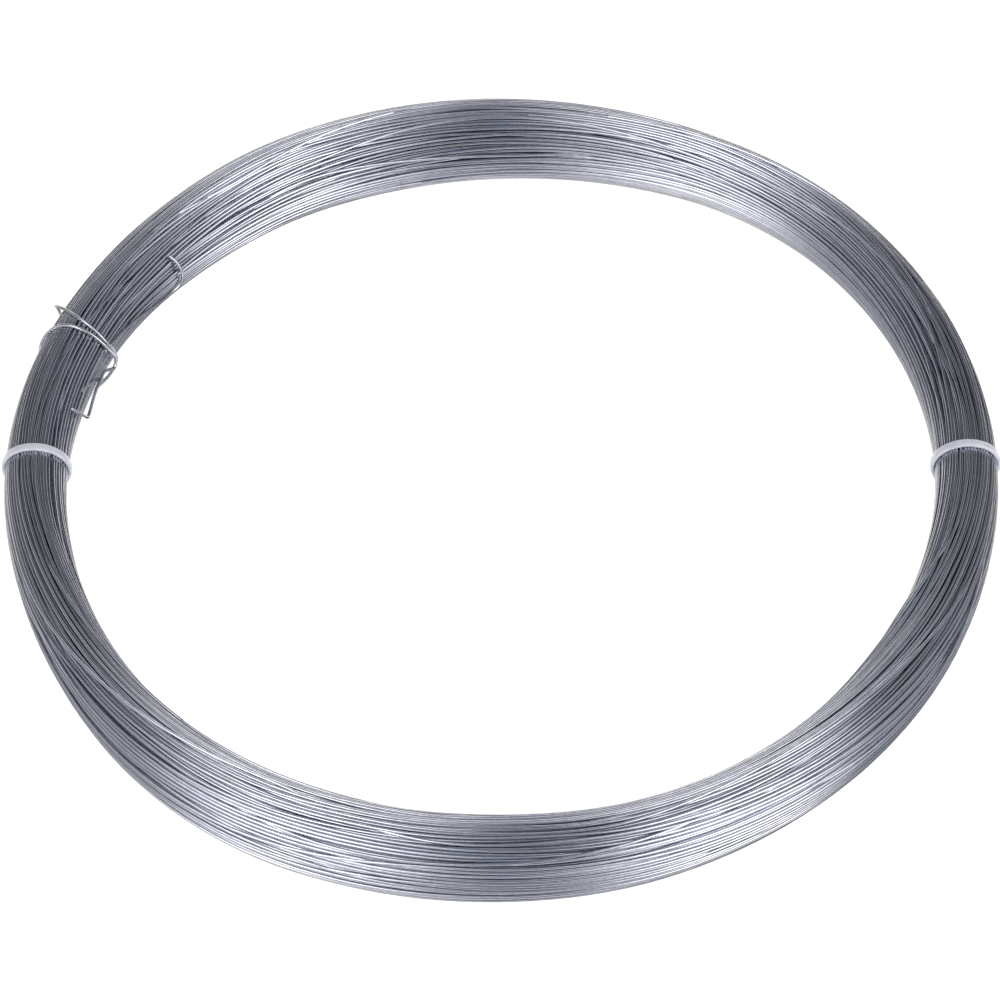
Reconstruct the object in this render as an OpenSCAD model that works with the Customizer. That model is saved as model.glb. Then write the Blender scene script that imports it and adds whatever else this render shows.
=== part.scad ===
// Coil of galvanized wire, lying flat and held by two nylon cable ties.
// The coil's axis is Z. The origin is on the floor, under the middle of the coil.
// The wound turns are one turned solid with a true bore. Its surface carries one
// ridge for each outer turn, so the turns show on the ends and on both sides.

/* [Wire] */
// Diameter of the galvanized wire
wire_d = 1.4; // [1:0.1:1.8]

/* [Coil] */
// Outside diameter over the turns, where the coil is full
coil_od = 419; // [400:1:450]
// Thickness of the round bundle of turns, where it is full
bundle_d = 35; // [34:0.5:38]
// Diameter of the bore, at the crests of the innermost turns
bore_d = 350; // [348:0.5:351]
// Turns that show round the outside of the bundle
outer_turns = 72; // [48:1:74]

/* [Cable ties] */
// Bundle diameter squeezed by each cable tie
tie_grip_d = 26.2; // [24:0.2:28]
// Width of the tie's strap
tie_w = 3.6; // [2.5:0.1:4.8]
// Thickness of the tie's strap
tie_t = 1.2; // [0.9:0.1:1.4]
// Angle of the tie's head below the bundle's outer side
head_angle = 50; // [44:1:56]
// Length of the cut tail that stands out of the head
tail_l = 1.4; // [0.5:0.1:2]
// Place of the right tie on the ring, as an angle from +X
right_tie_angle = 1.8; // [0:0.1:2.5]
// Place of the left tie on the ring, as an angle from +X
left_tie_angle = 178.8; // [177.5:0.1:180]

/* [Wire ends] */
// Bundle diameter squeezed by the wire end that is wound round it
wrap_grip_d = 28.2; // [27:0.2:29]
// Place of the wound end on the ring, as an angle from +X
wrap_angle = 158.5; // [150:0.5:165]

/* [Hidden] */

wire_r = wire_d / 2;
bundle_r = bundle_d / 2;
core_r = bundle_r - wire_r;             // through the centres of the outer turns
ring_r = (coil_od - bundle_d) / 2;      // from the coil's axis to the bundle's middle
bore_x = ring_r - bore_d / 2;           // bundle's middle to the bore wall
bore_half = sqrt(bundle_r * bundle_r - bore_x * bore_x);
end_room = 1.6;                         // depth that the loose ends take inside the bore wall
inner_reach = 12.4;                     // angle that the loose inner end runs past the wound end
base_drop = 17;                         // bundle's middle to the flat base
base_half = 4.1;                        // half width of the flat base
zc = base_drop;

grip_r = tie_grip_d / 2;
wrap_r = wrap_grip_d / 2;
strap_gap = 0.05;                       // strap clear of the turns
strap_r = grip_r + strap_gap;
tie_half = 4.8;                         // angle of the ring that a tie draws in, each way
wrap_half = 5.4;                        // the same for the wound end
head_h = 4.5;                           // head, away from the bundle
head_l = 6.4;                           // head, along the strap
head_w = 5.4;                           // head, along the coil

// ---------------------------------------------------------------- turns

// Section of the bundle: one ridge for each outer turn, with a valley between
// neighbours. The innermost turns share one wall, the bore, and the lowest ones
// share the base.
ridge = [[-0.5, core_r + 0.1], [-0.22, bundle_r], [0.22, bundle_r]];

module bundle_section() {
    difference() {
        union() {
            polygon([for (i = [0 : outer_turns - 1]) for (p = ridge)
                     let (a = (i + p[0]) * 360 / outer_turns)
                     p[1] * [cos(a), sin(a)]]);
            translate([-bore_x, -bore_half]) square([2, 2 * bore_half]);
            translate([-base_half, -base_drop]) square([2 * base_half, 2]);
        }
        translate([-bore_x - 4, -bundle_r]) square([4, 2 * bundle_r]);
        translate([-bundle_r, -base_drop - 4]) square([2 * bundle_r, 4]);
    }
}

// Turns between two angles round the coil.
module full_turns(from, to) {
    translate([0, 0, zc])
        rotate([0, 0, from])
            rotate_extrude(angle = to - from, $fn = 240)
                translate([ring_r, 0]) bundle_section();
}

// The same, with the innermost turns drawn back between two more angles, so that
// a loose end that lies inside them stays out of the bore.
module turns_with_room(from, to, room_from, room_to) {
    difference() {
        full_turns(from, to);
        translate([0, 0, zc])
            rotate([0, 0, room_from])
                rotate_extrude(angle = room_to - room_from, $fn = 240)
                    translate([bore_d / 2 - 4, -bundle_r])
                        square([4 + end_room, 2 * bundle_r]);
    }
}

// The bundle where something grips it: radius r over the length w, then a cone
// that opens to each side and runs a little way into the full turns.
module gripped(r, w, slope, half) {
    r_end = core_r - 1;
    y_end = w / 2 + (r_end - r) / slope;
    rotate([90, 0, 0])
        rotate_extrude($fn = 120)
            polygon([[0, -half], [r_end, -half], [r_end, -y_end], [r, -w / 2],
                     [r, w / 2], [r_end, y_end], [r_end, half], [0, half]]);
}

module wire_coil() {
    color([0.62, 0.64, 0.68]) {
        turns_with_room(right_tie_angle + tie_half, wrap_angle - wrap_half,
                        wrap_angle - wrap_half - inner_reach, wrap_angle);
        turns_with_room(wrap_angle + wrap_half, left_tie_angle - tie_half,
                        wrap_angle, left_tie_angle);
        full_turns(left_tie_angle + tie_half, 360 + right_tie_angle - tie_half);
        for (a = [right_tie_angle, left_tie_angle])
            rotate([0, 0, a]) translate([ring_r, 0, zc]) gripped(grip_r, 5, 0.3, 18);
        rotate([0, 0, wrap_angle]) translate([ring_r, 0, zc]) gripped(wrap_r, 26, 0.4, 20);
    }
}

// ---------------------------------------------------------------- cable ties

// Outline of a tie's head seen from its side, with its corners broken.
module head_outline() {
    c = 0.8;
    polygon([[0, -head_l / 2], [head_h - c, -head_l / 2], [head_h, -head_l / 2 + c],
             [head_h, head_l / 2 - c], [head_h - c, head_l / 2], [0, head_l / 2]]);
}

// One tie on a bundle at the origin that runs along Y: a closed strap with its
// head on the lower outer side, and the cut end of the strap beyond the head.
module tie() {
    rotate([90, 0, 0]) {
        rotate_extrude($fn = 120)
            translate([strap_r, -tie_w / 2]) square([tie_t, tie_w]);
        rotate([0, 0, -head_angle]) {
            difference() {
                translate([strap_r, 0, -head_w / 2])
                    linear_extrude(height = head_w) head_outline();
                // the bundle's room in the head's foot
                translate([0, 0, -head_w]) cylinder(r = strap_r, h = 2 * head_w, $fn = 120);
                // the window over the locking tongue
                translate([strap_r + head_h - 1.1, -1.6, -1.3]) cube([2, 3.2, 2.6]);
            }
            translate([strap_r + 1.7, -head_l / 2 - tail_l, -tie_w / 2])
                cube([tie_t, tail_l + 1, tie_w]);
        }
    }
}

module cable_tie_left() {
    color([0.93, 0.94, 0.95])
    rotate([0, 0, left_tie_angle]) translate([ring_r, 0, zc]) tie();
}

module cable_tie_right() {
    color([0.93, 0.94, 0.95])
    rotate([0, 0, right_tie_angle]) translate([ring_r, 0, zc]) tie();
}

// ---------------------------------------------------------------- wire ends

// A point beside the bundle: t is the angle round the coil, f the angle round
// the bundle from its outer side upwards, r the distance from its middle.
function at(q) = [(ring_r + q[2] * cos(q[1])) * cos(q[0]),
                  (ring_r + q[2] * cos(q[1])) * sin(q[0]),
                  zc + q[2] * sin(q[1])];

function unit(v) = v / norm(v);

// Smooth curve through the points p, with two steps between neighbours.
function smooth_line(p) = let (n = len(p)) [
    for (i = [0 : n - 2]) each [
        p[i],
        i == 0 || i == n - 2 ? (p[i] + p[i + 1]) / 2
            : (9 * (p[i] + p[i + 1]) - p[i - 1] - p[i + 2]) / 16],
    p[n - 1]];

function tangents(p) = let (n = len(p))
    [for (i = [0 : n - 1]) unit(p[min(i + 1, n - 1)] - p[max(i - 1, 0)])];

// Normals carried along the curve without twisting.
function carried(t, v, i = 0) = i == len(t) ? []
    : let (n = unit(v - (v * t[i]) * t[i])) concat([n], carried(t, n, i + 1));

// Round wire of radius r along the points p.
module swept_wire(p, r, sides = 8) {
    t = tangents(p);
    n = carried(t, [0.3, 0.2, 1]);
    m = len(p);
    pts = [for (i = [0 : m - 1]) let (b = cross(t[i], n[i]))
           for (j = [0 : sides - 1]) let (a = 360 * j / sides)
           p[i] + r * (cos(a) * n[i] + sin(a) * b)];
    walls = [for (i = [0 : m - 2]) for (j = [0 : sides - 1]) let (k = (j + 1) % sides)
             [i * sides + j, (i + 1) * sides + j, (i + 1) * sides + k, i * sides + k]];
    ends = [[for (j = [0 : sides - 1]) j],
            [for (j = [0 : sides - 1]) (m - 1) * sides + (sides - 1 - j)]];
    polyhedron(points = pts, faces = concat(walls, ends), convexity = 12);
}

wr = wrap_r + wire_r + 0.3;             // middle of a wire wound on the squeezed bundle
fr = bundle_r + wire_r + 0.15;          // middle of a wire lying on the full bundle
br = bore_x - wire_r + 0.1;             // middle of a wire lying in the room inside the turns

// The outer end leaves the bundle, goes down its inner side, twice round it,
// and stands off in a hook whose tip comes back to the bundle.
outer_route = [
    [167.5, 146, fr], [166.4, 152, fr + 0.1], [165, 160, br + 0.9], [163.8, 166, br + 0.2],
    [162.4, 175, wr], [161.8, -174, wr], [161.4, -160, wr], [161, -146, wr],
    [160.4, -128, wr], [159.4, -106, wr], [158.3, -82, wr],
    [157.2, -58, wr], [156, -38, wr], [154.9, -18, wr + 0.6], [154.4, 0, wr + 2],
    [154.7, 15, wr + 3.4], [155.5, 30, wr + 1.6], [156.2, 48, wr + 0.2], [157, 68, wr],
    [157.6, 88, wr], [158, 108, wr], [158.2, 128, wr], [158.3, 148, wr],
    [158.2, 166, wr + 0.3], [158.2, -177, wr + 1.1], [158.9, -160, wr + 1.6], [160.1, -144, wr + 1.7],
    [161.1, -128, wr + 1.6], [161.5, -112, wr + 0.7], [161.5, -94, wr], [161.4, -74, wr],
    [161.3, -52, wr], [161.2, -30, wr], [160.9, -8, wr], [160.3, 14, wr], [159.7, 34, wr],
    [159.2, 54, wr], [159.1, 76, wr], [159.1, 98, wr], [159.1, 120, wr],
    [159.1, 142, wr], [159.1, 158, wr + 0.4], [159.3, 170, wr + 1.2], [159.9, 179, wr + 1.5],
    [160.8, 180, wr + 1.7], [161.9, 178, wr + 1.7], [163.3, 175, br + 0.4],
    [165.6, 173, br + 0.2], [168.6, 173, br + 0.3], [169.8, 167, br + 0.6],
    [170.5, 158, br + 1.6], [170.9, 151, fr + 0.1], [171.1, 144, fr]];

// The inner end comes out from under the wound end, lies along the inner side
// of the bundle, and its tip curls up over the top.
inner_route = [
    [157.6, 156, wr], [155.6, 161, wr + 0.4], [153.6, 168, wr + 1.5], [151.4, 173, br + 0.2],
    [149.2, 177, br], [147, 180, br], [145.2, -178, br], [143.8, -178, br],
    [142.9, 179, br], [142.3, 172, br + 0.2], [142, 163, br + 1], [141.9, 153, br + 2],
    [141.9, 142, fr], [142.1, 132, fr]];

module outer_end() {
    color([0.78, 0.79, 0.82])
    swept_wire(smooth_line([for (q = outer_route) at(q)]), wire_r, 6);
}

module inner_end() {
    color([0.78, 0.79, 0.82])
    swept_wire(smooth_line([for (q = inner_route) at(q)]), wire_r, 8);
}

wire_coil();
outer_end();
inner_end();
cable_tie_left();
cable_tie_right();
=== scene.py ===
"""Coil of galvanized wire lying flat, held by two nylon cable ties.

Every turn of the coil is a real swept wire. The turns are laid in the bundle by a
small relaxation: each one wanders a little, keeps a wire's thickness from its
neighbours, and stays inside the bundle, which is tight at the ties and looser
between them.
"""
import math

import bmesh
import bpy
import numpy as np
from mathutils import Matrix, Vector


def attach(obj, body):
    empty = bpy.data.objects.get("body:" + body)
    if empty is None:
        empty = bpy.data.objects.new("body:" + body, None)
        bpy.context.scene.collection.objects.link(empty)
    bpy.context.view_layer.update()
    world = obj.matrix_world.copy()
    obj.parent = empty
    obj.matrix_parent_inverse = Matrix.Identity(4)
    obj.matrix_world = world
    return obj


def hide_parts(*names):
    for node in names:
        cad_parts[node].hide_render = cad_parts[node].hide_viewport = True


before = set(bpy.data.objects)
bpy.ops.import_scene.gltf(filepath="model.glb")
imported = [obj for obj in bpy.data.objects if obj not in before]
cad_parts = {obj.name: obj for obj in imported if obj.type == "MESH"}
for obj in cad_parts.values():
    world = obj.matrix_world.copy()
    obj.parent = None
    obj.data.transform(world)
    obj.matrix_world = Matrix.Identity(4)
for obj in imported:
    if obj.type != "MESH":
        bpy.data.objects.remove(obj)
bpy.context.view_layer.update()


MM = 0.001
WIRE = 0.7  # wire radius, mm
PITCH = 1.4  # wire diameter, mm
ZC = 17.0  # height of the bundle's middle, mm
RING = 192.0  # coil's axis to the bundle's middle at the ties, mm
TAU = 2 * math.pi

# The bundle every 15 degrees round the coil, from +X towards +Y: distance of its
# middle from the axis, and its half width, in mm.
MIDDLE = [192.0, 193.1, 194.5, 195.3, 194.3, 192.1, 191.0, 190.4, 190.7, 190.2, 190.7, 191.5,
          192.0, 191.7, 192.6, 194.4, 194.6, 192.8, 191.4, 191.5, 190.9, 190.4, 190.0, 190.4]
HALF_W = [13.0, 13.4, 13.8, 13.9, 14.2, 16.3, 18.6, 19.4, 18.8, 17.4, 14.9, 14.0,
          13.0, 12.6, 12.9, 14.8, 16.6, 17.0, 17.2, 16.2, 15.1, 14.6, 14.2, 13.4]


def ring(values, t):
    """The table's value at angle t, along a smooth closed curve."""
    v = np.asarray(values, float)
    n = len(v)
    x = (np.asarray(t, float) % TAU) / TAU * n
    i = np.floor(x).astype(int)
    f = x - i
    p0, p1, p2, p3 = v[(i - 1) % n], v[i % n], v[(i + 1) % n], v[(i + 2) % n]
    return 0.5 * (2 * p1 + (p2 - p0) * f + (2 * p0 - 5 * p1 + 4 * p2 - p3) * f**2
                  + (3 * p1 - p0 - 3 * p2 + p3) * f**3)


def middle(t):
    return ring(MIDDLE, t)


def half_w(t):
    return ring(HALF_W, t)


def half_h(t):
    return 13.05 + 3.7 * np.abs(np.sin(t)) ** 1.2


def place(t, u, w):
    """Row-frame point, in mm, for angle t round the coil and (u, w) off the bundle's middle."""
    r = middle(t) + u
    return np.stack([r * np.cos(t), r * np.sin(t), ZC + w], -1)


# ------------------------------------------------------------------ winding
TURNS = 300
STATIONS = 120
START = math.radians(163.0)

# How far the turns are rolled round the bundle, every 15 degrees round the coil, in
# degrees: from each tie towards the front the outer turns climb over to the inner side.
ROLL = [0, -5, -9, -12, -13, -14, -14, -13, -12, -10, -7, -3,
        0, 17, 36, 50, 57, 60, 60, 58, 53, 45, 31, 14]

# Turns that leave their place and lie over the others for a stretch: degrees round
# the coil, degrees round the bundle, mm above the outer turns.
OVER = [
    [(308, 188, 0.1), (320, 184, 0.5), (329, 175, 0.9), (337, 156, 1.2), (343, 118, 1.3), (350, 77, 1.2), (357, 60, 0.3)],
    [(296, 150, 0.2), (308, 164, 0.8), (318, 172, 0.9), (328, 160, 1.0), (338, 132, 1.0), (346, 110, 0.6), (353, 96, 0.2)],
    [(300, 34, 0.1), (312, 20, 0.6), (326, 14, 0.8), (338, 22, 0.8), (348, 38, 0.4), (354, 46, 0.1)],
    [(276, 76, 0.1), (290, 92, 0.8), (304, 100, 0.9), (316, 94, 0.9), (330, 72, 0.7), (344, 44, 0.3)],
    [(187, 60, 0.1), (197, 90, 0.6), (208, 116, 0.8), (220, 138, 0.8), (234, 158, 0.6), (248, 170, 0.1)],
    [(188, 30, 0.1), (200, 40, 0.6), (214, 70, 0.8), (226, 96, 0.8), (240, 116, 0.6), (256, 124, 0.1)],
    [(196, 8, 0.1), (212, 10, 0.6), (228, 16, 0.8), (242, 24, 0.8), (254, 34, 0.6), (266, 42, 0.1)],
    [(214, 152, 0.1), (228, 144, 0.7), (244, 150, 0.9), (258, 162, 0.6), (270, 170, 0.1)],
    [(236, 52, 0.1), (254, 44, 0.7), (272, 48, 0.9), (288, 60, 0.8), (300, 66, 0.1)],
    [(10, 100, 0.1), (22, 90, 0.7), (36, 94, 0.9), (50, 112, 0.8), (64, 126, 0.1)],
    [(30, 50, 0.1), (46, 60, 0.8), (60, 76, 0.9), (74, 84, 0.7), (88, 82, 0.1)],
    [(62, 120, 0.1), (76, 106, 0.8), (90, 98, 0.9), (104, 104, 0.8), (118, 118, 0.1)],
    [(96, 60, 0.1), (108, 72, 0.7), (122, 92, 0.8), (132, 104, 0.4), (138, 108, 0.1)],
    [(114, 100, 0.1), (124, 106, 0.4), (136, 114, 0.5), (147, 126, 0.5), (153, 134, 0.1), (157, 138, 0)],
    [(118, 126, 0.1), (128, 130, 0.4), (138, 136, 0.5), (147, 144, 0.5), (153, 150, 0.1), (157, 152, 0)],
    [(122, 150, 0.1), (132, 154, 0.5), (143, 160, 0.5), (150, 168, 0.5), (155, 172, 0.1)],
    [(72, 150, 0.1), (86, 158, 0.6), (100, 152, 0.8), (114, 138, 0.6), (128, 130, 0.1)],
]

# Grooves between the turns: degrees round the coil from and to, degrees round the
# bundle there, half width in mm.
GROOVES = [
    (190, 236, 70, 108, 0.50), (200, 262, 40, 84, 0.55), (186, 222, 96, 140, 0.42), (232, 290, 118, 128, 0.50),
    (246, 318, 76, 84, 0.50), (262, 300, 44, 40, 0.42), (288, 350, 60, 28, 0.55), (300, 348, 118, 74, 0.50),
    (306, 340, 150, 120, 0.40), (12, 60, 70, 92, 0.50), (30, 96, 112, 120, 0.45), (70, 130, 76, 92, 0.50),
    (84, 128, 140, 128, 0.45), (100, 152, 52, 62, 0.50), (122, 156, 110, 128, 0.60), (126, 156, 132, 143, 0.60),
    (128, 155, 146, 158, 0.55), (130, 158, 88, 104, 0.50), (132, 156, 162, 174, 0.50), (196, 250, 14, 20, 0.45),
    (322, 352, 96, 52, 0.40), (150, 176, 84, 90, 0.45), (184, 206, 122, 150, 0.40), (50, 84, 46, 40, 0.40),
]


def blur(w, sigma):
    k = np.exp(-0.5 * (np.arange(-int(4 * sigma), int(4 * sigma) + 1) / sigma) ** 2)
    k /= k.sum()
    h = len(k) // 2
    pad = np.concatenate([w[h:0:-1], w, w[-2:-h - 2:-1]])
    return np.stack([np.convolve(pad[:, c], k, "valid") for c in range(w.shape[1])], 1)


def wander(rng, sigma, turns=0.0):
    """Smooth unit noise along the wire, shared over a few neighbouring turns."""
    w = rng.normal(size=(TURNS * STATIONS, 2))
    if turns:
        g = w.reshape(TURNS, STATIONS * 2)
        w = blur(g, turns).reshape(-1, 2)
    w = blur(w, sigma)
    return w / w.std(0)


def ease(x):
    x = np.clip(x, 0, 1)
    return x * x * (3 - 2 * x)


def lay_turns(iters):
    rng = np.random.default_rng(7)
    K, N = STATIONS, TURNS
    th = START + TAU * np.arange(K) / K
    A, B = half_w(th) - WIRE, half_h(th) - WIRE
    # the loose stretches are hollow, so the turns round the hollow stay close
    spare = math.pi * (A + WIRE) * (B + WIRE) - N * math.pi * WIRE**2 / 0.80
    hollow = np.clip(np.sqrt(np.clip(spare, 0, None) / (math.pi * A * B)), 0, 0.8)
    # homes: rows across the bundle, wound to and fro
    r, gap = 13.05 - WIRE, 1.42
    while True:
        homes = []
        rows = int(r // (gap * 0.866)) + 1
        for j in range(-rows, rows + 1):
            x = j * gap * 0.866
            if x * x > r * r:
                continue
            h = math.sqrt(r * r - x * x)
            n = int((2 * h) // gap) + 1
            ys = (np.arange(n) - (n - 1) / 2) * gap
            homes += [(x, y) for y in (ys[::-1] if j % 2 else ys)]
        if len(homes) >= N:
            break
        gap *= 0.995
    homes = np.array(homes[:N]) / r
    n = N * K
    f = (np.arange(n) % K) / K
    u = np.repeat(homes, K, axis=0)
    u += (np.repeat(np.vstack([homes[1:], homes[-1:]]), K, axis=0) - u) * f[:, None]
    loose = np.tile(1 - np.exp(-((np.abs(np.sin(th))) / 0.35) ** 2), N)[:, None]
    u += (wander(rng, 8.3) * 0.030 + wander(rng, 15.0, 1.2) * 0.080
          + wander(rng, 36.0) * 0.10 + wander(rng, 43.0, 2.5) * 0.07) * (0.2 + loose)
    roll = np.tile(np.radians(ring(ROLL, th)), N)
    u = np.stack([u[:, 0] * np.cos(roll) - u[:, 1] * np.sin(roll),
                  u[:, 0] * np.sin(roll) + u[:, 1] * np.cos(roll)], 1)
    rr = np.clip(np.hypot(u[:, 0], u[:, 1]), 1e-6, None)
    S = np.tile(hollow, N)
    u *= (np.sqrt(S**2 + (1 - S**2) * np.clip(rr, 0, 1) ** 2) / rr)[:, None]
    AB = np.tile(np.stack([A, B], 1), (N, 1))
    CA, CB = np.tile(hollow * A, N), np.tile(hollow * B, N)
    P = u * AB
    # grooves: thin spacers that keep the outer turns apart
    deg = np.degrees(th)
    spacers = []
    for t0, t1, f0, f1, half in GROOVES:
        x = ((deg - t0) % 360) / (t1 - t0)
        on = x <= 1
        ph = np.radians(f0 + (f1 - f0) * ease(x))
        rad = np.where(on, half * ease(np.minimum(x, 1 - x) * 4), 0)
        spacers.append((np.stack([A * np.cos(ph), B * np.sin(ph)], 1), rad))
    # turns that lie over the others
    held = np.zeros(n, bool)
    goal = np.zeros((n, 2))
    taken = set()
    near_i = near_j = None
    for it in range(iters):
        if it == iters // 3:
            for keys in OVER:
                keys = np.array(keys, float)
                span_deg = keys[-1, 0] - keys[0, 0]
                k0 = int(round(((keys[0, 0] - math.degrees(START)) % 360) / 360 * K))
                count = int(round(span_deg / 360 * K)) + 1
                x = np.degrees(th[k0 % K]) % 360 + np.arange(count) * 360 / K
                x = x - 360 if x[0] > keys[0, 0] + 180 else x
                kk = (k0 + np.arange(count)) % K
                ph = np.radians(np.interp(x, keys[:, 0], keys[:, 1]))
                lift = np.interp(x, keys[:, 0], keys[:, 2])
                if count > 6:
                    ph = blur(np.stack([ph, lift], 1), 1.0)
                    ph, lift = ph[:, 0], ph[:, 1]
                way = np.stack([(A[kk] + lift) * np.cos(ph), (B[kk] + lift) * np.sin(ph)], 1)
                first = np.arange(2, N - 3) * K + k0
                cost = (np.linalg.norm(P[first] - way[0], axis=1)
                        + 0.6 * np.linalg.norm(P[first + count - 1] - way[-1], axis=1))
                for c in np.argsort(cost):
                    if not {int(c) - 1, int(c), int(c) + 1} & taken:
                        break
                taken.add(int(c))
                idx = first[c] + np.arange(count)
                w = ease(np.minimum(np.arange(count), count - 1 - np.arange(count)) / 4.0)[:, None]
                goal[idx] = P[idx] + (way - P[idx]) * w
                held[idx[w[:, 0] > 0]] = True
        if it % 10 == 0:
            Q = P.reshape(N, K, 2)
            ii, jj = [], []
            for k in range(K):
                q = Q[:, k]
                d2 = ((q[:, None] - q[None]) ** 2).sum(-1)
                a, b = np.nonzero(np.triu(d2 < 2.3**2, 1))
                ii.append(a * K + k)
                jj.append(b * K + k)
            near_i, near_j = np.concatenate(ii), np.concatenate(jj)
        d = P[near_i] - P[near_j]
        dist = np.sqrt((d**2).sum(1))
        hit = dist < PITCH
        a, b, d, dist = near_i[hit], near_j[hit], d[hit], np.maximum(dist[hit], 1e-6)
        push = d * (0.5 * (PITCH - dist) / dist)[:, None]
        move = np.zeros_like(P)
        for c in (0, 1):
            move[:, c] = np.bincount(a, push[:, c], n) - np.bincount(b, push[:, c], n)
        count = np.bincount(a, minlength=n) + np.bincount(b, minlength=n)
        P += move / np.maximum(1, 0.55 * count)[:, None]
        Q = P.reshape(N, K, 2)
        for mid, rad in spacers:
            on = rad > 0.02
            d = Q[:, on] - mid[None, on]
            dist = np.maximum(np.sqrt((d**2).sum(-1)), 1e-6)
            keep = WIRE + rad[None, on]
            Q[:, on] += np.where(dist < keep, 0.6 * (keep - dist) / dist, 0)[..., None] * d
        if it < iters - 6:
            g = blur(P, 1.6)
            P -= 0.5 * (P - 2 * g + blur(g, 1.6))
        q = np.hypot(P[:, 0] / AB[:, 0], P[:, 1] / AB[:, 1])
        P[q > 1] /= q[q > 1, None]
        q = np.hypot(P[:, 0] / np.maximum(CA, 1e-3), P[:, 1] / np.maximum(CB, 1e-3))
        under = (q < 1) & (CA > 0.5)
        P[under] *= (1 + 0.25 * (1 / np.maximum(q[under], 0.3) - 1))[:, None]
        P[held] = goal[held]
    return blur(P, 1.3)


def fine_chain(P, sub):
    """Catmull-Rom through the chain's stations, sub points to each."""
    pad = np.vstack([2 * P[0] - P[1], P, 2 * P[-1] - P[-2]])
    p0, p1, p2, p3 = pad[:-3], pad[1:-2], pad[2:-1], pad[3:]
    out = []
    for s in range(sub):
        f = s / sub
        out.append(0.5 * (2 * p1 + (p2 - p0) * f + (2 * p0 - 5 * p1 + 4 * p2 - p3) * f**2
                          + (3 * p1 - p0 - 3 * p2 + p3) * f**3))
    return np.vstack([np.stack(out, 1).reshape(-1, P.shape[1]), P[-1:]])


# ------------------------------------------------------------------ meshes
def new_mesh(name, verts, quads, tris=(), smooth=True):
    """verts in mm."""
    me = bpy.data.meshes.new(name)
    verts = np.asarray(verts, np.float32) * MM
    quads = np.asarray(quads, np.int32).reshape(-1, 4)
    tris = np.asarray(tris, np.int32).reshape(-1, 3)
    me.vertices.add(len(verts))
    me.vertices.foreach_set("co", verts.ravel())
    loops = np.concatenate([quads.ravel(), tris.ravel()]).astype(np.int32)
    me.loops.add(len(loops))
    me.loops.foreach_set("vertex_index", loops)
    starts = np.concatenate([np.arange(len(quads)) * 4, len(quads) * 4 + np.arange(len(tris)) * 3])
    me.polygons.add(len(starts))
    me.polygons.foreach_set("loop_start", starts.astype(np.int32))
    me.polygons.foreach_set("use_smooth", np.full(len(starts), smooth))
    me.update(calc_edges=True)
    me.validate()
    ob = bpy.data.objects.new(name, me)
    bpy.context.scene.collection.objects.link(ob)
    return ob


def tube_data(path, radius, sides, ref, cap=True, radii=None):
    """Vertices, quads and cap triangles of a round tube along path (mm)."""
    T = np.gradient(path, axis=0)
    T /= np.linalg.norm(T, axis=1)[:, None]
    if ref is None:
        Nn = np.empty_like(T)
        v = np.array([0.3, 0.2, 1.0])
        for i in range(len(T)):
            v = v - (v @ T[i]) * T[i]
            v /= np.linalg.norm(v)
            Nn[i] = v
    else:
        Nn = ref - (ref * T).sum(1)[:, None] * T
        Nn /= np.linalg.norm(Nn, axis=1)[:, None]
    Bn = np.cross(T, Nn)
    ang = TAU * np.arange(sides) / sides
    rad = (np.full(len(path), radius) if radii is None else np.asarray(radii))[:, None, None]
    ringv = path[:, None] + rad * (np.cos(ang)[None, :, None] * Nn[:, None] + np.sin(ang)[None, :, None] * Bn[:, None])
    m = len(path)
    i = np.arange(m - 1)[:, None] * sides
    j = np.arange(sides)[None]
    k = (j + 1) % sides
    quads = np.stack([i + j, i + k, i + sides + k, i + sides + j], -1).reshape(-1, 4)
    verts = ringv.reshape(-1, 3)
    tris = []
    if cap:
        c0, c1 = len(verts), len(verts) + 1
        verts = np.vstack([verts, path[0] - T[0] * 0.0, path[-1] + T[-1] * 0.0])
        for s in range(sides):
            tris.append((c0, (s + 1) % sides, s))
            tris.append((c1, (m - 1) * sides + s, (m - 1) * sides + (s + 1) % sides))
    return verts, quads, np.array(tris, int).reshape(-1, 3)


def set_float(ob, name, values):
    at = ob.data.attributes.new(name, "FLOAT", "POINT")
    at.data.foreach_set("value", np.asarray(values, np.float32))


# ------------------------------------------------------------------ materials
def material(name):
    m = bpy.data.materials.new(name)
    m.use_nodes = True
    nt = m.node_tree
    return m, nt, nt.nodes["Principled BSDF"]


def node(nt, kind, **sets):
    n = nt.nodes.new(kind)
    for k, v in sets.items():
        if k.startswith("in_"):
            key = k[3:]
            n.inputs[int(key) if key.isdigit() else key].default_value = v
        else:
            setattr(n, k, v)
    return n


def ramp(nt, stops, source):
    r = nt.nodes.new("ShaderNodeValToRGB")
    e = r.color_ramp.elements
    while len(e) < len(stops):
        e.new(0.5)
    for el, (p, c) in zip(e, stops):
        el.position = p
        el.color = (*c, 1) if len(c) == 3 else c
    nt.links.new(source, r.inputs[0])
    return r.outputs[0]


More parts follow.
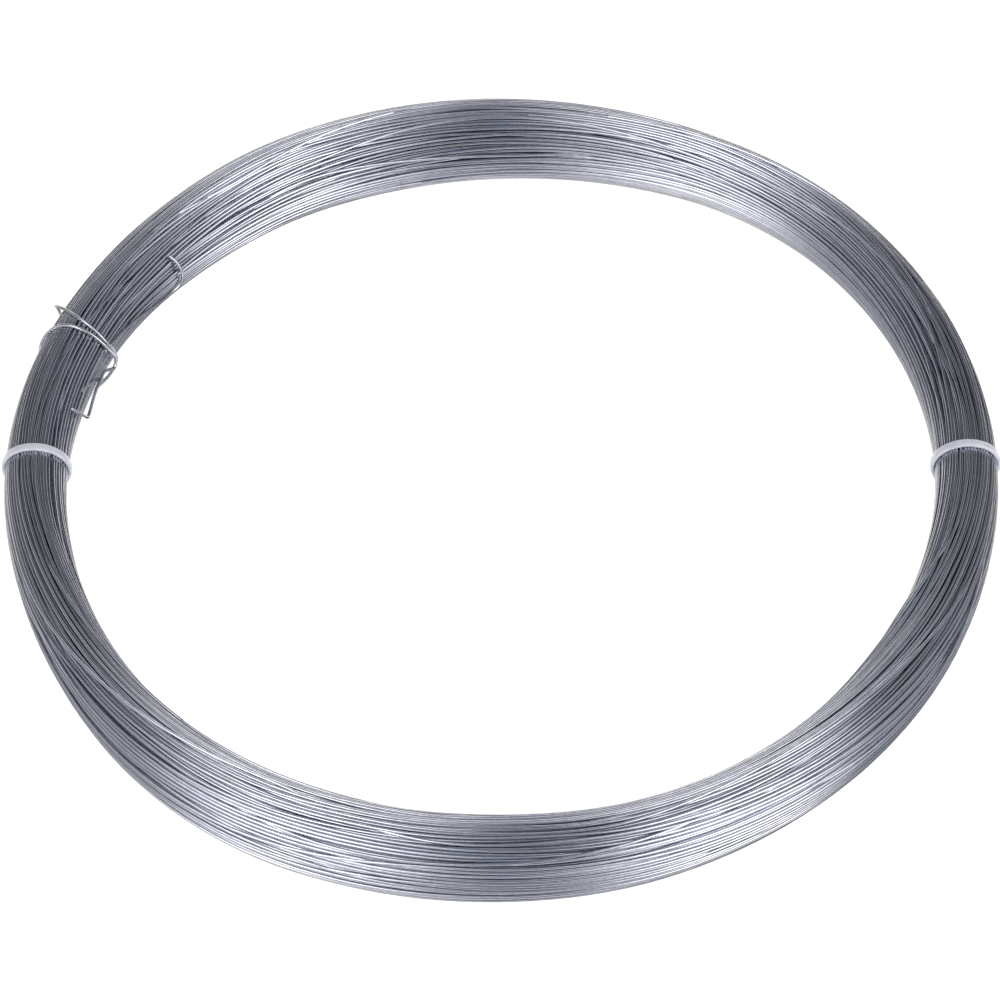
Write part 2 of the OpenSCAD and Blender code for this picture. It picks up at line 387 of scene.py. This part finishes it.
def zinc(name, base=(0.605, 0.622, 0.69), rough=0.14):
    m, nt, p = material(name)
    L = nt.links.new
    coord = node(nt, "ShaderNodeTexCoord").outputs["Object"]
    wire_tone_and_shade = node(nt, "ShaderNodeAttribute", attribute_name="turn").outputs["Fac"]
    along = node(nt, "ShaderNodeAttribute", attribute_name="along").outputs["Fac"]
    # drawn wire: every mark is stretched along the wire
    run = node(nt, "ShaderNodeCombineXYZ")
    L(along, run.inputs[0])
    L(wire_tone_and_shade, run.inputs[1])
    n1 = node(nt, "ShaderNodeTexNoise", in_Scale=38.0, in_Detail=2.0, in_Roughness=0.6)
    L(run.outputs[0], n1.inputs["Vector"])
    n2 = node(nt, "ShaderNodeTexNoise", in_Scale=230.0, in_Detail=3.0, in_Roughness=0.6)
    L(run.outputs[0], n2.inputs["Vector"])
    # and fine grains of zinc over it
    n3 = node(nt, "ShaderNodeTexNoise", in_Scale=1300.0, in_Detail=2.0, in_Roughness=0.6)
    L(coord, n3.inputs["Vector"])
    fine = node(nt, "ShaderNodeMath", operation="MULTIPLY", in_1=0.10)
    L(n3.outputs["Fac"], fine.inputs[0])
    mix1 = node(nt, "ShaderNodeMath", operation="MULTIPLY_ADD", in_1=0.34)
    L(n2.outputs["Fac"], mix1.inputs[0])
    L(fine.outputs[0], mix1.inputs[2])
    mix2 = node(nt, "ShaderNodeMath", operation="MULTIPLY_ADD", in_1=0.30)
    L(n1.outputs["Fac"], mix2.inputs[0])
    L(mix1.outputs[0], mix2.inputs[2])
    # per-turn tone: partly the wire's own tone from turn to turn, partly painted shade and painted highlight that
    # stand in for turns lying higher or lower and catching more or less light; the ramp below takes the base from 0.66
    # to 1.34 times
    mix3 = node(nt, "ShaderNodeMath", operation="MULTIPLY_ADD", in_1=0.36)
    L(wire_tone_and_shade, mix3.inputs[0])
    L(mix2.outputs[0], mix3.inputs[2])
    b = np.array(base)
    col = ramp(nt, [(0.30, tuple(b * 0.66)), (0.50, tuple(b * 0.94)), (0.64, tuple(np.minimum(b * 1.11, 1))),
                    (0.82, tuple(np.minimum(b * 1.34, 1)))], mix3.outputs[0])
    L(col, p.inputs["Base Color"])
    rr = ramp(nt, [(0.28, (rough + 0.08,) * 3), (0.42, (rough,) * 3), (0.60, (rough - 0.04,) * 3)], mix2.outputs[0])
    L(rr, p.inputs["Roughness"])
    p.inputs["Metallic"].default_value = 1.0
    p.inputs["Specular Tint"].default_value = (0.58, 0.58, 0.53, 1)  # dull, slightly green edges
    bump = node(nt, "ShaderNodeBump", in_Strength=0.07, in_Distance=0.00002)
    L(mix1.outputs[0], bump.inputs["Height"])
    L(bump.outputs["Normal"], p.inputs["Normal"])
    return m


def nylon(name):
    m, nt, p = material(name)
    L = nt.links.new
    coord = node(nt, "ShaderNodeTexCoord").outputs["Object"]
    n1 = node(nt, "ShaderNodeTexNoise", in_Scale=160.0, in_Detail=3.0)
    L(coord, n1.inputs["Vector"])
    L(ramp(nt, [(0.3, (0.575, 0.595, 0.665)), (0.7, (0.67, 0.687, 0.755))], n1.outputs["Fac"]), p.inputs["Base Color"])
    L(ramp(nt, [(0.3, (0.30,) * 3), (0.7, (0.40,) * 3)], n1.outputs["Fac"]), p.inputs["Roughness"])
    p.inputs["Subsurface Weight"].default_value = 0.85
    p.inputs["Subsurface Radius"].default_value = (0.0025, 0.0025, 0.0025)
    p.inputs["Subsurface Scale"].default_value = 1.0
    p.inputs["IOR"].default_value = 1.53
    bump = node(nt, "ShaderNodeBump", in_Strength=0.15, in_Distance=0.0001)
    n2 = node(nt, "ShaderNodeTexNoise", in_Scale=900.0, in_Detail=2.0)
    L(coord, n2.inputs["Vector"])
    L(n2.outputs["Fac"], bump.inputs["Height"])
    L(bump.outputs["Normal"], p.inputs["Normal"])
    return m


ZINC = zinc("galvanized_wire")
# the loose ends are the same wire as the turns: their darker base colour is painted shade, the slightly higher
# roughness is real
ZINC_END_SHADED = zinc("galvanized_wire_end_shaded", base=(0.55, 0.565, 0.61), rough=0.16)
NYLON = nylon("nylon_tie")

# ------------------------------------------------------------------ the turns
chain = lay_turns(240)
SUB = 3
SIDES = 8
fine = fine_chain(chain, 1)
seg = 180
# angle of every chain station, then an even resample to seg points a turn
station_t = START + TAU * np.arange(len(chain)) / STATIONS
steps = int(round((len(chain) - 1) / STATIONS * seg))
x = np.linspace(0, len(chain) - 1, steps + 1)
i0 = np.clip(np.floor(x).astype(int), 0, len(chain) - 2)
f = (x - i0)[:, None]
pad = np.vstack([2 * chain[0] - chain[1], chain, 2 * chain[-1] - chain[-2]])
p0, p1, p2, p3 = pad[i0], pad[i0 + 1], pad[i0 + 2], pad[i0 + 3]
uv = 0.5 * (2 * p1 + (p2 - p0) * f + (2 * p0 - 5 * p1 + 4 * p2 - p3) * f**2 + (3 * p1 - p0 - 3 * p2 + p3) * f**3)
tt = START + TAU * x / STATIONS
for strap_at in (178.8, 1.8):  # the straps press the turns in under them
    away = np.abs((np.degrees(tt) - strap_at + 180) % 360 - 180)
    most = 12.40 + 2.6 * ease((away - 1.0) / 4.0)
    far = np.hypot(uv[:, 0], uv[:, 1])
    press = (away < 5.0) & (far > most)
    uv[press] *= (most[press] / far[press])[:, None]
wire_path = place(tt, uv[:, 0], uv[:, 1])
wire_out = np.stack([np.cos(tt), np.sin(tt), 0 * tt], -1)

PARTS = 5
rng = np.random.default_rng(21)
# tone of each turn: partly its own tone, partly painted shade and painted highlight for turns that lie higher or lower
turn_tone_and_shade = rng.random(TURNS + 2)
cuts = np.linspace(0, len(wire_path) - 1, PARTS + 1).astype(int)
for n in range(PARTS):
    a, b = cuts[n], cuts[n + 1] + 1
    v, q, t3 = tube_data(wire_path[a:b], WIRE, SIDES, wire_out[a:b])
    ob = new_mesh("turns_%d" % (n + 1), v, q, t3)
    turn = (np.arange(a, b) / seg)
    k = np.floor(turn).astype(int)
    g = turn - k
    g = g * g * (3 - 2 * g)
    tone = turn_tone_and_shade[k] * (1 - g) + turn_tone_and_shade[k + 1] * g
    set_float(ob, "turn", np.concatenate([np.repeat(tone, SIDES), [tone[0], tone[-1]]]))
    run = np.linalg.norm(np.diff(wire_path[a:b], axis=0), axis=1).cumsum() * MM
    run = np.concatenate([[0], run])
    set_float(ob, "along", np.concatenate([np.repeat(run, SIDES), [run[0], run[-1]]]))
    ob.data.materials.append(ZINC)
    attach(ob, "root")
    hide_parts("wire_coil")


# ------------------------------------------------------------------ wire ends
def at(q, bulge=0.0):
    """(t, f, r) as in the source: degrees round the coil, degrees round the bundle, mm from its middle."""
    t, f, r = math.radians(q[0]), math.radians(q[1]), q[2]
    m = float(middle(t))
    return np.array([(m + r * math.cos(f)) * math.cos(t), (m + r * math.cos(f)) * math.sin(t), ZC + r * math.sin(f)])


def skin(t_deg, f_deg, lift):
    """mm from the bundle's middle to a wire's middle that lies on its outer turns, lift further out."""
    t, f = math.radians(t_deg), math.radians(f_deg)
    a, b = float(half_w(t)) + WIRE, float(half_h(t)) + WIRE
    return 1 / math.sqrt((math.cos(f) / a) ** 2 + (math.sin(f) / b) ** 2) + lift


def smooth_path(pts, sub):
    pts = np.asarray(pts, float)
    pad = np.vstack([2 * pts[0] - pts[1], pts, 2 * pts[-1] - pts[-2]])
    out = []
    for i in range(len(pts) - 1):
        p0, p1, p2, p3 = pad[i:i + 4]
        for s in range(sub):
            f = s / sub
            out.append(0.5 * (2 * p1 + (p2 - p0) * f + (2 * p0 - 5 * p1 + 4 * p2 - p3) * f**2
                              + (3 * p1 - p0 - 3 * p2 + p3) * f**3))
    out.append(pts[-1])
    return np.array(out)


OUTER = [  # degrees round the coil, degrees round the bundle, mm above the outer turns
    (166.9, 152, -1.6), (166.0, 158, -1.2), (165.0, 164, -0.7), (164.0, 170, -0.2), (163.1, 177, 0.2),
    (162.3, -174, 0.2), (161.5, -160, 0), (161, -146, 0), (160.4, -128, 0), (159.4, -106, 0),
    (158.3, -82, 0), (157.2, -58, 0), (156, -38, 0), (154.9, -18, 0.6), (154.4, 0, 2),
    (154.7, 15, 3.4), (155.5, 30, 1.6), (156.2, 48, 0.2), (156.95, 68, 0),
    (157.6, 88, 0), (158.05, 108, 0), (158.35, 128, 0), (158.45, 146, 0.1),
    (158.3, 164, 0.5), (158.3, -177, 1.4), (158.9, -160, 1.7), (160.1, -144, 1.7), (161.1, -128, 1.6),
    (161.5, -112, 0.8), (161.5, -94, 0), (161.4, -74, 0), (161.3, -52, 0),
    (161.2, -30, 0), (160.9, -8, 0), (160.3, 14, 0), (159.7, 34, 0),
    (159.2, 54, 0), (159.05, 76, 0), (159.12, 98, 0), (159.1, 120, 0),
    (159.02, 142, 0.1), (158.95, 158, 0.7), (159, 172, 2.4), (159.9, -177, 3),
    (160.9, 178, 2.1), (162, 172, 1.3), (163.6, 173, 1.6), (165.6, 174, 1.6), (169.2, 179, 2.2),
    (170, 176, 1.9), (170.5, 160, 0.7), (171, 140, 0.1)]
INNER = [
    (159.2, 160, -1.3), (157.6, 160, -0.1), (155.6, 162, 0.1), (153.4, 166, 0.3), (151.4, 170, 0.5),
    (149.2, 175, 0.7), (147, 180, 0.8), (145.2, -177, 0.6), (143.7, -177, 0.4),
    (142.6, 180, 0.6), (142, 172, 0.9), (141.7, 162, 1.1), (141.7, 152, 1.0),
    (141.8, 142, 0.9), (142.1, 131, 0.9)]


def wire_end(name, route, node_name):
    path = smooth_path([at((t, f, skin(t, f, lift))) for t, f, lift in route], 6)
    v, q, t3 = tube_data(path, WIRE, 12, None)
    ob = new_mesh(name, v, q, t3)
    set_float(ob, "turn", np.full(len(v), 0.6))
    run = np.concatenate([[0], np.linalg.norm(np.diff(path, axis=0), axis=1).cumsum() * MM])
    set_float(ob, "along", np.concatenate([np.repeat(run, 12), [run[0], run[-1]]]))
    ob.data.materials.append(ZINC_END_SHADED)
    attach(ob, "root")
    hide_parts(node_name)
    return ob


wire_end("outer_end_wire", OUTER, "outer_end")
wire_end("inner_end_wire", INNER, "inner_end")

# ------------------------------------------------------------------ ties
GRIP = 12.95  # inside of the strap, mm from the bundle's middle
STRAP_T, STRAP_W, CORNER = 1.5, 3.6, 0.62
HEAD = -50.0  # degrees round the bundle: the head sits low on the outer side


def lens(width, height, corner, steps=3):
    """Corner-rounded rectangle round the origin, counter-clockwise."""
    pts = []
    for cx, cy, start in ((1, 1, 0), (-1, 1, 90), (-1, -1, 180), (1, -1, 270)):
        for k in range(steps + 1):
            a = math.radians(start + 90 * k / steps)
            pts.append((cx * (width / 2 - corner) + corner * math.cos(a), cy * (height / 2 - corner) + corner * math.sin(a)))
    return np.array(pts)


def tie(name, node_name, angle, seed):
    """A closed strap round the bundle with its head low on the outer side."""
    rng = np.random.default_rng(seed)
    steps = 160
    ph = TAU * np.arange(steps) / steps
    sag = sum(rng.normal() * 0.035 * np.cos(k * ph + rng.uniform(0, TAU)) for k in (2, 3, 5))
    lean = sum(rng.normal() * 0.07 * np.cos(k * ph + rng.uniform(0, TAU)) for k in (1, 2))
    sec = lens(STRAP_T, STRAP_W, CORNER)
    m = len(sec)
    rad = GRIP + STRAP_T / 2 + np.abs(sag)[:, None] + sec[None, :, 0]
    verts = np.stack([rad * np.cos(ph)[:, None], lean[:, None] + sec[None, :, 1] + 0 * rad,
                      rad * np.sin(ph)[:, None]], -1).reshape(-1, 3)
    i = np.arange(steps)[:, None] * m
    i2 = (np.arange(steps)[:, None] + 1) % steps * m
    j = np.arange(m)[None]
    k = (j + 1) % m
    quads = np.stack([i + j, i2 + j, i2 + k, i + k], -1).reshape(-1, 4)
    strap = new_mesh(name, verts, quads)
    bm = bmesh.new()
    bm.from_mesh(strap.data)
    turn = Matrix.Rotation(-math.radians(HEAD), 4, "Y")

    def block(centre, size, bevel):
        made = bmesh.ops.create_cube(bm, size=1.0)["verts"]
        for v in made:
            v.co = Vector([c + s_ * q for c, s_, q in zip(centre, size, v.co)]) * MM
        edges = list({e for v in made for e in v.link_edges})
        faces = bmesh.ops.bevel(bm, geom=edges, offset=bevel * MM, segments=3, profile=0.5, affect="EDGES")["faces"]
        pts = {v for f in faces for v in f.verts} | {v for v in made if v.is_valid}
        return list(pts)

    parts = block((GRIP + 2.35, 0, 0), (4.3, 5.4, 6.4), 0.7)
    parts += block((GRIP + 2.5, 0, -3.9), (1.2, 3.4, 2.4), 0.25)  # the cut tail
    for v in set(parts):
        if v.is_valid:
            v.co = turn @ v.co
    # the window over the locking tongue
    bmesh.ops.recalc_face_normals(bm, faces=bm.faces)
    bm.normal_update()
    out = turn @ Vector((1, 0, 0))
    top = max((f for f in bm.faces if f.normal.dot(out) > 0.999 and f.calc_center_median().dot(out) > (GRIP + 4) * MM),
              key=lambda f: f.calc_area())
    bmesh.ops.inset_individual(bm, faces=[top], thickness=1.1 * MM, use_even_offset=True)
    bmesh.ops.translate(bm, verts=list(top.verts), vec=-out * 0.9 * MM)
    place_ = (Matrix.Rotation(math.radians(angle), 4, "Z") @ Matrix.Translation((RING * MM, 0, ZC * MM)))
    bm.transform(place_)
    bm.normal_update()
    bmesh.ops.recalc_face_normals(bm, faces=bm.faces)
    bm.to_mesh(strap.data)
    bm.free()
    strap.data.materials.append(NYLON)
    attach(strap, "root")
    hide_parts(node_name)
    return strap


tie("tie_left", "cable_tie_left", 178.8, 3)
tie("tie_right", "cable_tie_right", 1.8, 4)

# ------------------------------------------------------------------ floor, light, camera
fl, nt, p = material("floor_paper")
p.inputs["Base Color"].default_value = (0.22, 0.22, 0.22, 1)
p.inputs["Roughness"].default_value = 0.9
p.inputs["Emission Color"].default_value = (1, 1, 1, 1)
p.inputs["Emission Strength"].default_value = 1.0
me = bpy.data.meshes.new("floor")
me.from_pydata([(-6, -6, 0), (6, -6, 0), (6, 6, 0), (-6, 6, 0)], [], [(0, 1, 2, 3)])
floor = bpy.data.objects.new("floor", me)
bpy.context.scene.collection.objects.link(floor)
floor.data.materials.append(fl)
floor.visible_glossy = False  # the wire mirrors the room round it

w = bpy.data.worlds.new("studio")
bpy.context.scene.world = w
w.use_nodes = True
# A pale room lit from the front: how bright it is at each height (0 is straight down,
# 0.5 the horizon, 1 overhead) in front, to each side, at the back, and on two tall
# white banks that stand in front to the left and to the right.
FRONT = [
    (0.00, (0.84, 0.81, 0.86)), (0.18, (0.25, 0.24, 0.35)), (0.35, (1.56, 1.58, 1.61)),
    (0.50, (0.00, 0.00, 0.00)), (0.62, (0.32, 0.36, 0.39)), (0.78, (0.00, 0.00, 0.00)),
    (1.00, (0.01, 0.01, 0.03))
]
LEFT = [
    (0.00, (0.78, 0.78, 0.61)), (0.18, (0.59, 0.59, 0.61)), (0.35, (0.39, 0.39, 0.45)),
    (0.50, (0.54, 0.55, 0.58)), (0.65, (0.58, 0.59, 0.58)), (0.82, (0.06, 0.07, 0.08)),
    (1.00, (1.07, 1.09, 1.15))
]
RIGHT = [
    (0.00, (0.08, 0.17, 0.17)), (0.18, (0.00, 0.00, 0.00)), (0.35, (0.90, 0.94, 1.00)),
    (0.50, (0.00, 0.00, 0.00)), (0.65, (0.52, 0.53, 0.54)), (0.82, (0.22, 0.21, 0.25)),
    (1.00, (1.03, 1.08, 1.10))
]
BACK = [
    (0.00, (1.82, 1.73, 1.57)), (0.07, (0.78, 0.72, 0.66)), (0.14, (1.09, 0.98, 0.74)),
    (0.25, (3.21, 3.13, 3.07)), (0.35, (2.51, 2.32, 2.11)), (0.48, (0.00, 0.00, 0.00)),
    (0.58, (2.55, 2.53, 2.38)), (0.68, (0.80, 0.83, 0.93)), (0.78, (0.41, 0.39, 0.39)),
    (0.90, (0.00, 0.00, 0.00)), (1.00, (0.13, 0.21, 0.40))
]
BANK_RIGHT = [
    (0.00, (0.00, 0.00, 0.00)), (0.20, (0.00, 0.00, 0.00)), (0.35, (0.00, 0.00, 0.00)),
    (0.50, (0.66, 0.62, 0.54)), (0.65, (2.13, 2.05, 1.99)), (0.78, (3.30, 3.20, 3.08)),
    (0.90, (2.27, 2.17, 2.11)), (1.00, (0.89, 0.90, 0.96))
]
BANK_LEFT = [
    (0.00, (0.00, 0.00, 0.00)), (0.20, (0.04, 0.02, 0.01)), (0.35, (1.03, 1.03, 1.06)),
    (0.50, (0.00, 0.00, 0.00)), (0.65, (0.70, 0.67, 0.68)), (0.78, (1.81, 1.74, 1.67)),
    (0.90, (3.45, 3.39, 3.24)), (1.00, (5.63, 5.57, 5.23))
]
sky = w.node_tree.nodes["Background"]
sky.inputs[1].default_value = 1.0
wt = w.node_tree
WL = wt.links.new
way = node(wt, "ShaderNodeTexCoord").outputs["Generated"]
split = node(wt, "ShaderNodeSeparateXYZ")
WL(way, split.inputs[0])


def span(source, start, stop, to=(0.0, 1.0)):
    """source from start to stop, made a smooth step between the two values of to."""
    r = node(wt, "ShaderNodeMapRange", interpolation_type="SMOOTHSTEP")
    if start > stop:
        start, stop, to = stop, start, (to[1], to[0])
    r.inputs["From Min"].default_value = start
    r.inputs["From Max"].default_value = stop
    r.inputs["To Min"].default_value = to[0]
    r.inputs["To Max"].default_value = to[1]
    WL(source, r.inputs["Value"])
    return r.outputs[0]


def calc(operation, one, two=None, value=None):
    m = node(wt, "ShaderNodeMath", operation=operation)
    WL(one, m.inputs[0])
    if two is not None:
        WL(two, m.inputs[1])
    elif value is not None:
        m.inputs[1].default_value = value
    return m.outputs[0]


def dot(axis):
    d = node(wt, "ShaderNodeVectorMath", operation="DOT_PRODUCT")
    WL(way, d.inputs[0])
    d.inputs[1].default_value = axis
    return d.outputs["Value"]


def bank(azimuth, half, soft):
    """1 on a tall bank that stands in the direction azimuth, half its width to each side."""
    az = math.radians(azimuth)
    side = calc("ABSOLUTE", dot((-math.sin(az), math.cos(az), 0)))
    return calc("MULTIPLY", span(side, half + soft, half - soft),
                span(dot((math.cos(az), math.sin(az), 0)), 0.200, 0.700))


height = node(wt, "ShaderNodeMapRange")  # 0 straight down, 0.5 on the horizon, 1 overhead
height.inputs["From Min"].default_value = -1.0
height.inputs["From Max"].default_value = 1.0
WL(split.outputs["Z"], height.inputs["Value"])
level = node(wt, "ShaderNodeVectorMath", operation="MULTIPLY")
WL(way, level.inputs[0])
level.inputs[1].default_value = (1, 1, 0)
flat = node(wt, "ShaderNodeVectorMath", operation="NORMALIZE")
WL(level.outputs[0], flat.inputs[0])
heading = node(wt, "ShaderNodeSeparateXYZ")
WL(flat.outputs[0], heading.inputs[0])
down = calc("MULTIPLY", calc("MINIMUM", split.outputs["Z"], value=0.0), value=-0.6)
rear = span(calc("ADD", heading.outputs["Y"], down), 0.900, 0.977)
rest = calc("MULTIPLY_ADD", rear, value=-1.0)
rest.node.inputs[2].default_value = 1.0
on_left = span(heading.outputs["X"], -0.35, -0.85)
on_right = span(heading.outputs["X"], 0.35, 0.85)
ahead = calc("MULTIPLY_ADD", calc("ADD", on_left, on_right), value=-1.0)
ahead.node.inputs[2].default_value = 1.0
room = None
for where, stops in ((calc("MULTIPLY", rest, ahead), FRONT), (calc("MULTIPLY", rest, on_left), LEFT),
                     (calc("MULTIPLY", rest, on_right), RIGHT), (rear, BACK),
                     (bank(321.3, 0.297, 0.213), BANK_RIGHT), (bank(227.4, 0.342, 0.257), BANK_LEFT)):
    top = max(max(c) for _, c in stops)
    part = node(wt, "ShaderNodeVectorMath", operation="SCALE")
    WL(ramp(wt, [(p, tuple(v / top for v in c)) for p, c in stops], height.outputs[0]), part.inputs[0])
    WL(calc("MULTIPLY", where, value=top), part.inputs["Scale"])
    if room is None:
        room = part.outputs[0]
    else:
        both = node(wt, "ShaderNodeVectorMath", operation="ADD")
        WL(room, both.inputs[0])
        WL(part.outputs[0], both.inputs[1])
        room = both.outputs[0]
WL(room, sky.inputs[0])
# behind the coil the camera sees plain white paper
paper = node(wt, "ShaderNodeBackground")
paper.inputs[0].default_value = (1, 1, 1, 1)
pick = node(wt, "ShaderNodeMixShader")
WL(node(wt, "ShaderNodeLightPath").outputs["Is Camera Ray"], pick.inputs[0])
WL(sky.outputs[0], pick.inputs[1])
WL(paper.outputs[0], pick.inputs[2])
WL(pick.outputs[0], wt.nodes["World Output"].inputs[0])

ELEV, DIST, FOCAL = math.radians(50.7), 1.920, 4652.0
CX, CY = 501.3, 474.6
cam_data = bpy.data.cameras.new("camera")
cam = bpy.data.objects.new("camera", cam_data)
bpy.context.scene.collection.objects.link(cam)
back = Vector((0, -math.cos(ELEV), math.sin(ELEV)))
right = Vector((1, 0, 0))
up = back.cross(right)
pos = Vector((0, 0, 0.0175)) + back * DIST
# aim so that the coil's middle falls where it should in the frame
aim = -back * FOCAL + right * (500 - CX) - up * (500 - CY)
z = -aim.normalized()
x_ = Vector((1, 0, 0)) - z * z.x
x_.normalize()
y_ = z.cross(x_)
m = Matrix((x_, y_, z)).transposed().to_4x4()
m.translation = pos
cam.matrix_world = m
cam_data.sensor_width = 36.0
cam_data.lens = FOCAL * 36.0 / 1000.0
cam_data.clip_start = 0.01
cam_data.clip_end = 100.0
cam_data.dof.use_dof = False
bpy.context.scene.camera = cam
bpy.context.scene.view_settings.view_transform = "Standard"
bpy.context.scene.view_settings.look = "None"
